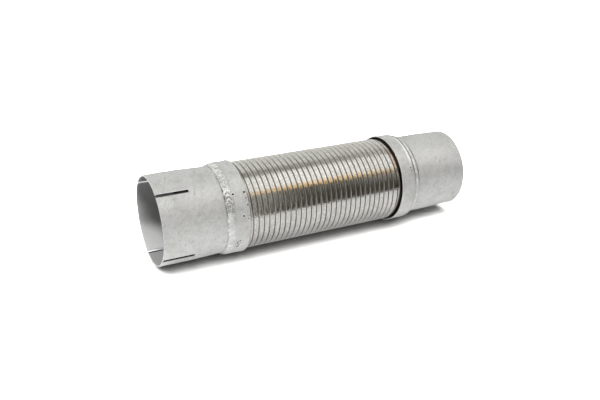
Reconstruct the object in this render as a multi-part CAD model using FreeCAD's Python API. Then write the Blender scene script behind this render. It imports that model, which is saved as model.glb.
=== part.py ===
import FreeCAD, Part
import math
import os

from BOPTools import SplitAPI

# Exhaust flex pipe for a heavy vehicle, in millimetres, lying on its two collars.
# Everything is drawn round the X axis with the slotted mouth at x = 0 and the gas leaving
# towards +X, and is lifted at the end so that the lowest point of the collars is at z = 0
# and the middle of the length is at x = 0.

# Tube stock, shared by both end tubes
TUBE_OD = 127.0
TUBE_WALL = 2.0

# Inlet tube: a slotted socket, widened to slip over tube of the same stock, then a long
# taper, a neck and a spigot
SOCKET_EXPANSION = 4.0
SOCKET_LENGTH = 48.5
TAPER_LENGTH = 55.5
NECK_DROP = 2.0
NECK_LENGTH = 6.0

# Clamping slots in the socket, sawn one by one and so not quite evenly spread. Angles are
# counted from the horizontal on the -Y side up towards +Z.
SLOT_LENGTH = 47.5
SLOT_WIDTH = 3.5
SLOT_ANGLES = (52.5, 139.0, 246.0, 323.0)

# Outlet tube: plain stock that is sized down at its free end
OUTLET_TUBE_LENGTH = 134.0
SIZED_END_DROP = 1.0
SIZED_END_LENGTH = 14.0
SIZING_CONE_LENGTH = 33.5

# Flexible hose, wound from one interlocked strip
HOSE_LENGTH = 298.0
HOSE_CLEARANCE = 0.3
STRIP_HEIGHT = 3.0
STRIP_PITCH = 8.63
STRIP_LIP = 1.1
LIP_PHASE_X = 134.3
LIP_PHASE_ANGLE = 20.0
SPARE_TURNS_BEFORE = 2
SPARE_TURNS_AFTER = 1
CUFF_RISE = 0.15
CUFF_HIDDEN = 1.0

# How deep the spigots and the collars reach over the ends of the hose
SPIGOT_DEPTH = 24.0
HOSE_SHOULDER_GAP = 2.0
COLLAR_GRIP = 17.0

# Collars, one pressing used at both ends with its flared mouth towards the hose
COLLAR_SHEET = 1.5
COLLAR_LENGTH = 28.5
COLLAR_SLACK = 1.6
COLLAR_FLARE_LENGTH = 8.0
COLLAR_FLARE_RISE = 0.6
COLLAR_SHOULDER_LENGTH = 6.0
COLLAR_SEAT_CLEARANCE = 0.3

# Weld beads between the collars' tails and the tubes
BEAD_LEG = 6.6
BEAD_CREST_AT = 0.45
BEAD_CREST_RISE = 1.2
BEAD_CAP = 0.2

# Radii that follow from the values above
TUBE_R = TUBE_OD / 2
SOCKET_R = TUBE_R + SOCKET_EXPANSION / 2 + TUBE_WALL
TAPER_END_R = TUBE_R + NECK_DROP
SIZED_END_R = TUBE_R - SIZED_END_DROP
HOSE_BORE_R = TUBE_R + HOSE_CLEARANCE
HOSE_R = HOSE_BORE_R + STRIP_HEIGHT
COLLAR_R = HOSE_R + COLLAR_SLACK + COLLAR_SHEET
COLLAR_MOUTH_R = COLLAR_R + COLLAR_FLARE_RISE

# Stations along the axis that follow from the values above
TAPER_END_X = SOCKET_LENGTH + TAPER_LENGTH
NECK_END_X = TAPER_END_X + NECK_LENGTH
HOSE_START_X = NECK_END_X + HOSE_SHOULDER_GAP
HOSE_END_X = HOSE_START_X + HOSE_LENGTH
INLET_SPIGOT_END_X = HOSE_START_X + SPIGOT_DEPTH
INLET_COLLAR_MOUTH_X = HOSE_START_X + COLLAR_GRIP
INLET_COLLAR_TAIL_X = INLET_COLLAR_MOUTH_X - COLLAR_LENGTH
OUTLET_COLLAR_MOUTH_X = HOSE_END_X - COLLAR_GRIP
OUTLET_COLLAR_TAIL_X = OUTLET_COLLAR_MOUTH_X + COLLAR_LENGTH
OUTLET_TUBE_START_X = HOSE_END_X - SPIGOT_DEPTH
OVERALL_LENGTH = OUTLET_TUBE_START_X + OUTLET_TUBE_LENGTH

# The collars' tails are pressed down to the inlet tube's taper, where the first one sits
TAPER_SLOPE = (TAPER_END_R - SOCKET_R) / TAPER_LENGTH
INLET_SEAT_R = SOCKET_R + TAPER_SLOPE * (INLET_COLLAR_TAIL_X - SOCKET_LENGTH)
COLLAR_TAIL_R = INLET_SEAT_R + COLLAR_SEAT_CLEARANCE + COLLAR_SHEET

ORIGIN = FreeCAD.Vector(0, 0, 0)
AXIS = FreeCAD.Vector(1, 0, 0)
SIDEWAYS = FreeCAD.Vector(0, 1, 0)
UP = FreeCAD.Vector(0, 0, 1)
FULL_TURN = 360.0
QUARTER_TURN = 90.0


def section_point(x, radius):
    """A point of a section, which lies in the XZ plane above the axis."""
    return FreeCAD.Vector(x, 0, radius)


def revolve_section(points):
    """The solid swept round the axis by the closed outline through (x, radius) points.

    A slanted line becomes a ruled band between its two circles, which is the same surface as
    a revolved cone and takes a quarter of the facets.
    """
    corners = [Part.Vertex(section_point(x, radius)) for x, radius in points + points[:1]]
    bands = []
    for first, second in zip(corners, corners[1:]):
        if first.X != second.X and first.Z != second.Z:
            circles = [corner.revolve(ORIGIN, AXIS, FULL_TURN) for corner in (first, second)]
            bands.append(Part.makeRuledSurface(*circles))
        else:
            line = Part.makeLine(first.Point, second.Point)
            bands.append(line.revolve(ORIGIN, AXIS, FULL_TURN))
    skin = Part.Shell(bands)
    skin.sewShape()
    return Part.makeSolid(skin)


def offset_inwards(points, thickness):
    """The inner line of a sheet whose outer line is given, with mitred corners."""
    headings = [math.atan2(r2 - r1, x2 - x1) for (x1, r1), (x2, r2) in zip(points, points[1:])]
    before = headings[:1] + headings
    after = headings + headings[-1:]
    inner = []
    for index, ((x, radius), turn_in, turn_out) in enumerate(zip(points, before, after)):
        if index in (0, len(points) - 1):
            inner.append((x, radius - thickness / math.cos(turn_in)))
        else:
            middle = (turn_in + turn_out) / 2
            reach = thickness / math.cos((turn_out - turn_in) / 2)
            inner.append((x + reach * math.sin(middle), radius - reach * math.cos(middle)))
    return inner


def revolve_sheet(outer_points, thickness):
    """A pipe of even sheet whose outer line runs through (x, radius) points."""
    return revolve_section(outer_points + offset_inwards(outer_points, thickness)[::-1])


def taper_radius(x):
    """The inlet tube's outer radius at a station of its taper."""
    return SOCKET_R + TAPER_SLOPE * (x - SOCKET_LENGTH)


def make_slot(angle):
    """The tool of one clamping slot: open at the mouth, round at its far end."""
    half = SLOT_WIDTH / 2
    reach = SOCKET_R + TUBE_WALL
    straight = Part.makeBox(SLOT_LENGTH - half + SLOT_WIDTH, SLOT_WIDTH, reach,
                            FreeCAD.Vector(-SLOT_WIDTH, -half, 0))
    round_end = Part.makeCylinder(half, reach, FreeCAD.Vector(SLOT_LENGTH - half, 0, 0))
    slot = straight.fuse(round_end)
    slot.rotate(ORIGIN, AXIS, QUARTER_TURN - angle)
    return slot


def make_inlet_tube():
    """The slotted socket, its taper, the neck and the spigot that carries the hose."""
    tube = revolve_sheet([
        (0, SOCKET_R),
        (SOCKET_LENGTH, SOCKET_R),
        (TAPER_END_X, TAPER_END_R),
        (NECK_END_X, TUBE_R),
        (INLET_SPIGOT_END_X, TUBE_R),
    ], TUBE_WALL)
    return tube.cut([make_slot(angle) for angle in SLOT_ANGLES])


def make_outlet_tube():
    """The plain tube from inside the hose to the sized free end."""
    return revolve_sheet([
        (OUTLET_TUBE_START_X, TUBE_R),
        (OVERALL_LENGTH - SIZED_END_LENGTH - SIZING_CONE_LENGTH, TUBE_R),
        (OVERALL_LENGTH - SIZED_END_LENGTH, SIZED_END_R),
        (OVERALL_LENGTH, SIZED_END_R),
    ], TUBE_WALL)


def make_collar(mouth_x, outwards):
    """A collar with its flared mouth at mouth_x and its tail in the given direction."""
    points = [
        (mouth_x, COLLAR_MOUTH_R),
        (mouth_x + outwards * COLLAR_FLARE_LENGTH, COLLAR_R),
        (mouth_x + outwards * (COLLAR_LENGTH - COLLAR_SHOULDER_LENGTH), COLLAR_R),
        (mouth_x + outwards * COLLAR_LENGTH, COLLAR_TAIL_R),
    ]
    return revolve_sheet(points[::outwards], COLLAR_SHEET)


def make_weld_bead(tail_x, outwards, radius_at):
    """The bead that fills the corner between a collar's tail and the tube."""
    crest_x = tail_x + outwards * BEAD_LEG * BEAD_CREST_AT
    toe_x = tail_x + outwards * BEAD_LEG
    cap_radius = COLLAR_TAIL_R + BEAD_CAP
    chord_radius = cap_radius + (radius_at(toe_x) - cap_radius) * BEAD_CREST_AT
    return revolve_section([
        (tail_x, radius_at(tail_x)),
        (tail_x, cap_radius),
        (crest_x, chord_radius + BEAD_CREST_RISE),
        (toe_x, radius_at(toe_x)),
    ])


def helix_edge(radius, rise):
    """One turn of a helix round Z that starts the given rise above the origin."""
    turn = Part.makeHelix(STRIP_PITCH, STRIP_PITCH, radius).Edges[0]
    turn.translate(UP * rise)
    return turn


def make_strip_surface(start_x, length):
    """The outer skin of the wound strip along +X, a turn longer than the body at both ends.

    Each turn of the strip runs down to the next one and ends there at a lip, so the skin is
    one helical slope and one helical step, repeated a pitch apart.
    """
    lip_top = helix_edge(HOSE_R, 0)
    lip_foot = helix_edge(HOSE_R - STRIP_LIP, STRIP_PITCH)
    next_lip_top = helix_edge(HOSE_R, STRIP_PITCH)
    turn_faces = [
        Part.makeRuledSurface(lip_top, lip_foot),
        Part.makeRuledSurface(lip_foot, next_lip_top),
    ]
    faces = []
    for number in range(-SPARE_TURNS_BEFORE, math.ceil(length / STRIP_PITCH) + SPARE_TURNS_AFTER):
        for face in turn_faces:
            copy = face.copy()
            copy.translate(UP * number * STRIP_PITCH)
            faces.append(copy)
    skin = Part.Shell(faces)
    skin.sewShape()
    # The lip crosses the phase angle at the phase station
    skin.rotate(ORIGIN, UP, -FULL_TURN * (LIP_PHASE_X - start_x) / STRIP_PITCH)
    skin.rotate(ORIGIN, SIDEWAYS, QUARTER_TURN)
    skin.rotate(ORIGIN, AXIS, -QUARTER_TURN - LIP_PHASE_ANGLE)
    return skin


def make_hose():
    """The wound hose: a helical body between two cuffs that are rolled plain."""
    cuff_length = COLLAR_GRIP - CUFF_HIDDEN
    wound_start_x = HOSE_START_X + cuff_length
    wound_length = HOSE_LENGTH - 2 * cuff_length
    blank = revolve_section([
        (0, HOSE_BORE_R),
        (wound_length, HOSE_BORE_R),
        (wound_length, HOSE_R + STRIP_HEIGHT),
        (0, HOSE_R + STRIP_HEIGHT),
    ])
    skin = make_strip_surface(wound_start_x, wound_length)
    pieces = SplitAPI.slice(blank, [skin], "Split").Solids
    wound_body = min(pieces, key=lambda piece: piece.BoundBox.ZMax)
    wound_body.translate(AXIS * wound_start_x)
    cuffs = [
        revolve_section([
            (start, HOSE_BORE_R),
            (start + cuff_length, HOSE_BORE_R),
            (start + cuff_length, HOSE_R + CUFF_RISE),
            (start, HOSE_R + CUFF_RISE),
        ])
        for start in (HOSE_START_X, HOSE_END_X - cuff_length)
    ]
    return wound_body.fuse(cuffs).Solids[0]


def stock_radius(_x):
    """The outlet tube's outer radius where the bead lies on it."""
    return TUBE_R


def make_parts():
    """Every piece of the pipe by its node's name, drawn round the X axis."""
    return {
        "slotted_inlet_tube": make_inlet_tube(),
        "inlet_collar": make_collar(INLET_COLLAR_MOUTH_X, -1),
        "inlet_weld_bead": make_weld_bead(INLET_COLLAR_TAIL_X, -1, taper_radius),
        "wound_hose": make_hose(),
        "outlet_collar": make_collar(OUTLET_COLLAR_MOUTH_X, 1),
        "outlet_weld_bead": make_weld_bead(OUTLET_COLLAR_TAIL_X, 1, stock_radius),
        "outlet_tube": make_outlet_tube(),
    }


os.makedirs("parts", exist_ok=True)
for name, shape in make_parts().items():
    shape.translate(FreeCAD.Vector(-OVERALL_LENGTH / 2, 0, COLLAR_MOUTH_R))
    shape.exportStep(f"parts/{name}.step")
    print(name, "valid" if shape.isValid() else "NOT VALID", len(shape.Solids), "solid",
          round(shape.Volume / 1000, 2), "cm3")
print("overall length", OVERALL_LENGTH, "collar mouth diameter", 2 * COLLAR_MOUTH_R)
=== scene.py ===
"""Looks of an exhaust flex pipe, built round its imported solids.

The pipe lies along X. A slotted socket, a long taper and a spigot carry one end of a hose that
is wound from a single interlocked steel strip. A plain tube carries the other end, and a
pressed collar is welded over each joint. Stations are counted in metres from the socket's
mouth, and angles from the horizontal on the -Y side up towards +Z.
"""

import logging
import math
from collections.abc import Callable
from dataclasses import dataclass, field
from enum import Enum
from typing import NamedTuple

import bmesh
import bpy
from mathutils import Matrix, Vector, noise


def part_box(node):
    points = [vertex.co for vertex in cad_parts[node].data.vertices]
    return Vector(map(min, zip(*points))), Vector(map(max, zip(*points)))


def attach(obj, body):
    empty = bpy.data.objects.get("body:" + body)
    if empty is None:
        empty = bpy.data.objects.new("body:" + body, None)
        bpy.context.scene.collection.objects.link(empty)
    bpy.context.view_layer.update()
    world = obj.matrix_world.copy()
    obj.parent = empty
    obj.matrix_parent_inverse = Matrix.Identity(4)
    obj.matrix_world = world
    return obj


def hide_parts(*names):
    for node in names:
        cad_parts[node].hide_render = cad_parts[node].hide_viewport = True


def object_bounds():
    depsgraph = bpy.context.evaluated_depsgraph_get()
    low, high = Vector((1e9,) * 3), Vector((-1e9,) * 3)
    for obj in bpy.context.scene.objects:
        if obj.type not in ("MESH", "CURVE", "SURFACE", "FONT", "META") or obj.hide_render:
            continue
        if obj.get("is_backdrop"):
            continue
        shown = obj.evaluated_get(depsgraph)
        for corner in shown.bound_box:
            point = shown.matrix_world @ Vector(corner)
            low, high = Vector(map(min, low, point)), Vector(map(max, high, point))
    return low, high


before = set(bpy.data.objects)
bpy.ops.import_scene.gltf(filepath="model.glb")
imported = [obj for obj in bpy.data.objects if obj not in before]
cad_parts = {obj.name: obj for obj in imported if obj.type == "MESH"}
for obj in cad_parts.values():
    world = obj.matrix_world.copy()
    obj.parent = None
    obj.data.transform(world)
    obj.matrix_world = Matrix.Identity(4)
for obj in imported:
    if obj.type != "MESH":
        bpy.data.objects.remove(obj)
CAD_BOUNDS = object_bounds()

LOG = logging.getLogger("flex_pipe")
MM = 0.001
FULL_TURN = 2 * math.pi
MOUTH_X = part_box("slotted_inlet_tube")[0].x
AXIS_Z = sum(corner.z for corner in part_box("wound_hose")) / 2
# Two points that are nearer than this are one
TOUCHING = MM / 1000
# A weld's crown is a parabola raised to the first of these, and the second undoes it
CROWN_POWER = 0.6
UNCROWN_POWER = 1.667
# Stations in millimetres: where each collar opens towards the hose, and the free end
INLET_MOUTH = 129.0
OUTLET_MOUTH = 393.0
FREE_END = 520.0

Pair = tuple[float, float]
Section = list[Pair]
Point = tuple[float, float, float]
Colour = tuple[float, float, float]
Piece = bpy.types.Object
Material = bpy.types.Material
# The corners of a grid's cell in turn, in rows and columns from its first one
CELL = ((0, 0), (1, 0), (1, 1), (0, 1))


class Slot(Enum):
    """The record's material slots."""

    TUBE = "aluminised_tube"
    COLLAR = "aluminised_collar"
    STRIP = "hose_strip"
    INLET_WELD = "inlet_weld_metal"
    OUTLET_WELD = "outlet_weld_metal"


class Flow(Enum):
    """Which way a collar's tail points along the pipe."""

    TO_INLET = -1
    TO_OUTLET = 1


def polar(station: float, radius: float, angle: float) -> Vector:
    """A point of the pipe in the row frame.

    Args:
        station: Distance from the socket's mouth, in metres.
        radius: Distance from the pipe's axis, in metres.
        angle: Angle from the -Y side up towards +Z, in radians.

    Returns:
        The point, in metres.
    """
    y, z = -radius * math.cos(angle), AXIS_Z + radius * math.sin(angle)
    return Vector((MOUTH_X + station, y, z))


def rounded_line(corners: list[Point], steps: int = 5) -> Section:
    """A line whose inner corners are softened.

    Args:
        corners: Station, radius and blend of each corner; the blend is how far before and
            after the corner the bend reaches.
        steps: Spans of each bend.

    Returns:
        The (station, radius) points of the softened line.
    """
    line: Section = [corners[0][:2]]
    for before, corner, after in zip(corners, corners[1:], corners[2:]):
        here = Vector(corner[:2])
        enter = here + (Vector(before[:2]) - here).normalized() * corner[2]
        leave = here + (Vector(after[:2]) - here).normalized() * corner[2]
        for step in range(steps + 1):
            t = step / steps
            point = enter * (1 - t) ** 2 + here * 2 * t * (1 - t) + leave * t**2
            line.append((point.x, point.y))
    line.append(corners[-1][:2])
    return line


def radius_on(line: Section, station: float) -> float:
    """The radius of a line at a station, read straight between its points."""
    for (x1, r1), (x2, r2) in zip(line, line[1:]):
        if x1 <= station <= x2:
            return r1 + (r2 - r1) * (station - x1) / max(x2 - x1, 1e-12)
    return line[-1][1]


# Node trees


def operator(
    operation: str, reflected: bool = False
) -> Callable[["Wire", "Wire | float"], "Wire"]:
    """An operator of a wire, which adds a Math node.

    Args:
        operation: The node's operation.
        reflected: Whether the wire is the second operand.

    Returns:
        The operator's method.
    """

    def apply(wire: "Wire", other: "Wire | float") -> "Wire":
        """The value of the operator's node."""
        return wire.bench.maths(operation, *((other, wire) if reflected else (wire, other)))

    return apply


class Wire:
    """The output of a node, written in formulas as if it were a number."""

    __add__ = __radd__ = operator("ADD")
    __mul__ = __rmul__ = operator("MULTIPLY")
    __sub__ = operator("SUBTRACT")
    __rsub__ = operator("SUBTRACT", reflected=True)
    __truediv__ = operator("DIVIDE")
    __rtruediv__ = operator("DIVIDE", reflected=True)
    __pow__ = operator("POWER")
    # A comparison gives 1 where it holds and 0 elsewhere
    __gt__ = operator("GREATER_THAN")
    __lt__ = operator("LESS_THAN")

    def __init__(self, bench: "Bench", socket: bpy.types.NodeSocket) -> None:
        """Keeps the tree that the socket belongs to beside it."""
        self.bench = bench
        self.socket = socket

    def maths(self, operation: str, *others: "Wire | float") -> "Wire":
        """A Math node on this value and the ones after it."""
        return self.bench.maths(operation, self, *others)

    def clamp(self) -> "Wire":
        """Kept from 0 to 1."""
        return self.maths("MINIMUM", 1.0).maths("MAXIMUM", 0.0)

    def ramp(self, low: float, high: float) -> "Wire":
        """Eased from 0 at the low value to 1 at the high one, which may be the smaller.

        Args:
            low: The value that gives 0.
            high: The value that gives 1.

        Returns:
            The eased value.
        """
        share = ((self - low) / (high - low)).clamp()
        return share * share * (3.0 - 2.0 * share)

    def band(self, first: Pair, second: Pair) -> "Wire":
        """The stretch that lies inside two ramps."""
        return self.ramp(*first) * self.ramp(*second)

    def side(self, key: int | str) -> "Wire":
        """Another output of the same node."""
        return Wire(self.bench, self.bench.pick(self.socket.node.outputs, key))


Value = Wire | float
Tone = Wire | Colour


class Bench:
    """A node tree and the one way in which nodes are added to it."""

    def __init__(self, tree: bpy.types.NodeTree) -> None:
        """Takes over a tree and empties it."""
        self.tree = tree
        self.tree.nodes.clear()

    @staticmethod
    def pick(sockets: bpy.types.bpy_prop_collection, key: int | str) -> bpy.types.NodeSocket:
        """A socket by its place, its identifier or its name."""
        if isinstance(key, int):
            return sockets[key]
        return next(s for s in sockets if key in (s.identifier, s.name))

    def add(
        self,
        kind: str,
        settings: dict[str, object] | None = None,
        sockets: dict[int | str, object] | None = None,
        output: int | str = 0,
    ) -> Wire:
        """Adds a node.

        Args:
            kind: The node's type.
            settings: Properties that are set first.
            sockets: Value or wire of each input.
            output: The output that is handed back.

        Returns:
            That output.
        """
        node = self.tree.nodes.new(kind)
        for name, value in (settings or {}).items():
            setattr(node, name, value)
        for key, value in (sockets or {}).items():
            socket = self.pick(node.inputs, key)
            if isinstance(value, Wire):
                self.tree.links.new(value.socket, socket)
            else:
                socket.default_value = (*value, 1.0) if socket.type == "RGBA" else value
        outputs = node.outputs
        return Wire(self, self.pick(outputs, output) if len(outputs) else node.inputs[0])

    def maths(self, operation: str, *operands: Value) -> Wire:
        """A Math node on values, which are wires or numbers."""
        return self.add("ShaderNodeMath", {"operation": operation}, dict(enumerate(operands)))

    def vector(self, x: Value, y: Value, z: Value) -> Wire:
        """A vector from three values."""
        return self.add("ShaderNodeCombineXYZ", {}, {0: x, 1: y, 2: z})

    def noise(self, at: Wire, scale: float, detail: float = 3.0, rough: float = 0.5) -> Wire:
        """Smooth noise round 0.5.

        Args:
            at: The point at which it is read.
            scale: Its cells per unit.
            detail: Its octaves.
            rough: How much the finer octaves count.

        Returns:
            The noise, from 0 to 1.
        """
        values = {"Vector": at, "Scale": scale, "Detail": detail, "Roughness": rough}
        return self.add("ShaderNodeTexNoise", {}, values)


class MaterialBench(Bench):
    """A material's tree."""

    def __init__(self, name: str) -> None:
        """Starts the material."""
        self.material = bpy.data.materials.new(name)
        self.material.use_nodes = True
        super().__init__(self.material.node_tree)

    def closed(self, shader: Wire, light: Wire | None = None) -> Material:
        """The material with its shader, to which a light of its own may be added."""
        if light is not None:
            shader = self.add("ShaderNodeAddShader", {}, {0: shader, 1: light})
        self.add("ShaderNodeOutputMaterial", {}, {"Surface": shader})
        return self.material


class MetalBench(MaterialBench):
    """A material's tree round one metal shader."""

    def __init__(self, name: str) -> None:
        """Starts the material and reads the point of the surface, in millimetres."""
        super().__init__(name)
        place = self.add("ShaderNodeTexCoord", output="Object")
        split = self.add("ShaderNodeSeparateXYZ", {}, {0: place})
        self.x = (split - MOUTH_X) / MM
        self.y = split.side("Y") / MM
        self.z = (split.side("Z") - AXIS_Z) / MM
        self.radius = self.maths("SQRT", self.y * self.y + self.z * self.z)
        self.angle = self.maths("ARCTAN2", self.z, self.y * -1.0)
        self.point = self.vector(self.x, self.y, self.z)

    def cloud(self, scale: float, detail: float = 3.0, rough: float = 0.5) -> Wire:
        """Smooth noise round 0.5 over the surface, with the noise's own scale and octaves."""
        return self.noise(self.point, scale, detail, rough)

    def at(self, along: float, around: float) -> Wire:
        """The surface's point with its two directions scaled, for streaks and lines."""
        return self.vector(self.x * along, self.y * around, self.z * around)

    def mark(self, name: str) -> Wire:
        """A value that the piece's own mesh carries."""
        return self.add("ShaderNodeAttribute", {"attribute_name": name}, {}, "Fac")

    def dots(self, scale: float, size: float, share: float) -> Wire:
        """Scattered round dots.

        Args:
            scale: Cells per unit; a cell holds one dot at most.
            size: Radius of a dot, in cells.
            share: How many of the cells hold a dot.

        Returns:
            1 inside a dot, or else 0.
        """
        sockets = {"Vector": self.point, "Scale": scale}
        cells = self.add("ShaderNodeTexVoronoi", {}, sockets, "Distance")
        chance = self.add("ShaderNodeSeparateColor", {}, {0: cells.side("Color")})
        reach = chance.side("Green") * size + size * 0.4
        return (cells / reach).ramp(1.0, 0.6) * (chance < share)

    def scratches(self, at: Wire, width: float, mask: Wire) -> Wire:
        """Thin wavering lines, where a mask lets them show."""
        field = self.noise(at, 1.0, 2.0, 0.6) - 0.5
        return field.maths("ABSOLUTE").ramp(width, 0.0) * mask

    def blend(self, share: Value, first: Tone, second: Tone) -> Wire:
        """Mixes two colours.

        Args:
            share: How much of the second.
            first: Colour at 0.
            second: Colour at 1.

        Returns:
            The mixed colour.
        """
        values = {"Factor_Float": share, "A_Color": first, "B_Color": second}
        return self.add("ShaderNodeMix", {"data_type": "RGBA"}, values, "Result_Color")

    def finish(
        self,
        colour: Tone,
        roughness: Value,
        height: Wire,
        metallic: Value = 1.0,
    ) -> Material:
        """Closes the material with its shader.

        Args:
            colour: Base colour.
            roughness: Roughness.
            height: Relief in millimetres.
            metallic: Share of bare metal.

        Returns:
            The finished material.
        """
        relief = {"Strength": 1.0, "Distance": MM, "Height": height}
        normal = self.add("ShaderNodeBump", {}, relief, "Normal")
        shader = self.add(
            "ShaderNodeBsdfPrincipled",
            {},
            {"Base Color": colour, "Metallic": metallic, "Roughness": roughness, "Normal": normal},
            "BSDF",
        )
        return self.closed(shader)


class MeshBench(Bench):
    """A Geometry Nodes tree with named inputs, which builds one plain mesh."""

    def __init__(self, name: str) -> None:
        """Starts the tree with its one geometry output."""
        super().__init__(bpy.data.node_groups.new(name, "GeometryNodeTree"))
        self.tree.interface.new_socket(
            name="Mesh", in_out="OUTPUT", socket_type="NodeSocketGeometry"
        )
        self.identifiers: dict[str, str] = {}
        self.values: dict[str, object] = {}

    def size(self, name: str, value: object) -> Wire:
        """A named input.

        Args:
            name: Its name.
            value: What this piece sets it to: a whole number, a number or an object.

        Returns:
            The input as a wire.
        """
        kind = {int: "Int", float: "Float"}.get(type(value), "Object")
        item = self.tree.interface.new_socket(
            name=name, in_out="INPUT", socket_type=f"NodeSocket{kind}"
        )
        self.identifiers[name] = item.identifier
        self.values[name] = value
        return self.add("NodeGroupInput", output=item.identifier)

    def solid(self, name: str, piece: Piece) -> Wire:
        """The geometry of an object that is a named input."""
        shape = self.size(name, piece)
        return self.add("GeometryNodeObjectInfo", {}, {"Object": shape}, "Geometry")

    def note(self, geometry: Wire, name: str, value: Wire) -> Wire:
        """Stores a value on the points of a mesh, for its finish to read."""
        store = {"data_type": "FLOAT", "domain": "POINT"}
        sockets = {"Geometry": geometry, "Name": name, "Value": value}
        return self.add("GeometryNodeStoreNamedAttribute", store, sockets)

    def part_of(self, vector: Wire) -> tuple[Wire, Wire, Wire]:
        """The three values of a vector."""
        split = self.add("ShaderNodeSeparateXYZ", {}, {0: vector})
        return split, split.side("Y"), split.side("Z")

    def ribbon(self, points: Wire, steps: Wire) -> tuple[Wire, Wire, Wire]:
        """A flat grid on which a closed section is swept.

        Args:
            points: How many points the section has.
            steps: How many steps the sweep takes.

        Returns:
            The grid, the share of the sweep, and the number of the section's point.
        """
        counts = {"Vertices X": steps + 1.0, "Vertices Y": points + 1.0}
        grid = self.add("GeometryNodeMeshGrid", {}, {"Size X": 1.0, "Size Y": 1.0, **counts})
        across, up, _ = self.part_of(self.add("GeometryNodeInputPosition"))
        number = ((up + 0.5) * points).maths("ROUND").maths("MODULO", points)
        return grid, across + 0.5, number

    def sampled(self, solid: Wire, value: Wire, number: Wire) -> tuple[Wire, Wire, Wire]:
        """The three values of a vector that one point of a solid carries."""
        sockets = {"Geometry": solid, "Value": value, "Index": number}
        sample = self.add("GeometryNodeSampleIndex", {"data_type": "FLOAT_VECTOR"}, sockets)
        return self.part_of(sample)

    def wrapped(self, grid: Wire, station: Wire, radius: Wire, angle: Wire) -> Wire:
        """Wraps a grid round the pipe's axis and closes its seams.

        Args:
            grid: The grid.
            station: Where each point lies along X.
            radius: Its distance from the axis.
            angle: Its angle from the -Y side up towards +Z, in radians.

        Returns:
            The closed mesh.
        """
        axis_height = self.size("Axis height", AXIS_Z)
        place = self.vector(
            station,
            radius * angle.maths("COSINE") * -1.0,
            axis_height + radius * angle.maths("SINE"),
        )
        laid = self.add("GeometryNodeSetPosition", {}, {"Geometry": grid, "Position": place})
        return self.add("GeometryNodeMergeByDistance", {}, {0: laid, "Distance": TOUCHING / 2})

    def build(self, piece: str, geometry: Wire, material: Material) -> Piece:
        """Runs the tree and keeps its result.

        Args:
            piece: Name of the piece.
            geometry: What the tree has made.
            material: The finish that it gets.

        Returns:
            The piece with a plain mesh and no modifier.
        """
        real = self.add("GeometryNodeRealizeInstances", {}, {0: geometry})
        dressed = self.add("GeometryNodeSetMaterial", {}, {0: real, "Material": material})
        self.add("NodeGroupOutput", {}, {0: dressed})
        carrier = new_piece(piece)
        modifier = carrier.modifiers.new("tree", "NODES")
        modifier.node_group = self.tree
        for name, value in self.values.items():
            modifier[self.identifiers[name]] = value
        return baked(carrier)


# Meshes


def new_piece(name: str, points: list[Point] = (), faces: list[tuple[int, ...]] = ()) -> Piece:
    """An object at the origin, in the scene, with a mesh of points and faces if it has any."""
    mesh = bpy.data.meshes.new(name)
    mesh.from_pydata(points, [], faces)
    mesh.update()
    piece = bpy.data.objects.new(name, mesh)
    bpy.context.scene.collection.objects.link(piece)
    return piece


def baked(piece: Piece) -> Piece:
    """The same piece with its modifiers turned into plain mesh."""
    graph = bpy.context.evaluated_depsgraph_get()
    mesh = bpy.data.meshes.new_from_object(piece.evaluated_get(graph), depsgraph=graph)
    piece.modifiers.clear()
    piece.data = mesh
    return piece


def face_outwards(piece: Piece, crease: float = 35.0) -> None:
    """Turns a closed piece's faces outwards and smooths it up to a crease angle in degrees."""
    shape = bmesh.new()
    shape.from_mesh(piece.data)
    bmesh.ops.remove_doubles(shape, verts=shape.verts, dist=TOUCHING)
    bmesh.ops.recalc_face_normals(shape, faces=shape.faces)
    for face in shape.faces:
        face.smooth = True
    shape.to_mesh(piece.data)
    shape.free()
    piece.data.set_sharp_from_angle(angle=math.radians(crease))


def seat(piece: Piece, slot: Slot, *nodes: str) -> Piece:
    """Puts a finished piece on the pipe's body in place of its solids.

    Args:
        piece: The finished piece.
        slot: The record's slot; not used.
        nodes: The solids that it stands for.

    Returns:
        The same piece.
    """
    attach(piece, "root")
    if nodes:
        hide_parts(*nodes)
    LOG.info("%s: %d faces", piece.name, len(piece.data.polygons))
    return piece


# Finishes: stations and radii are in millimetres, from the socket's mouth and the axis, and
# angles in radians. A pair is where a ramp gives 0 and where it gives 1.


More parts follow.
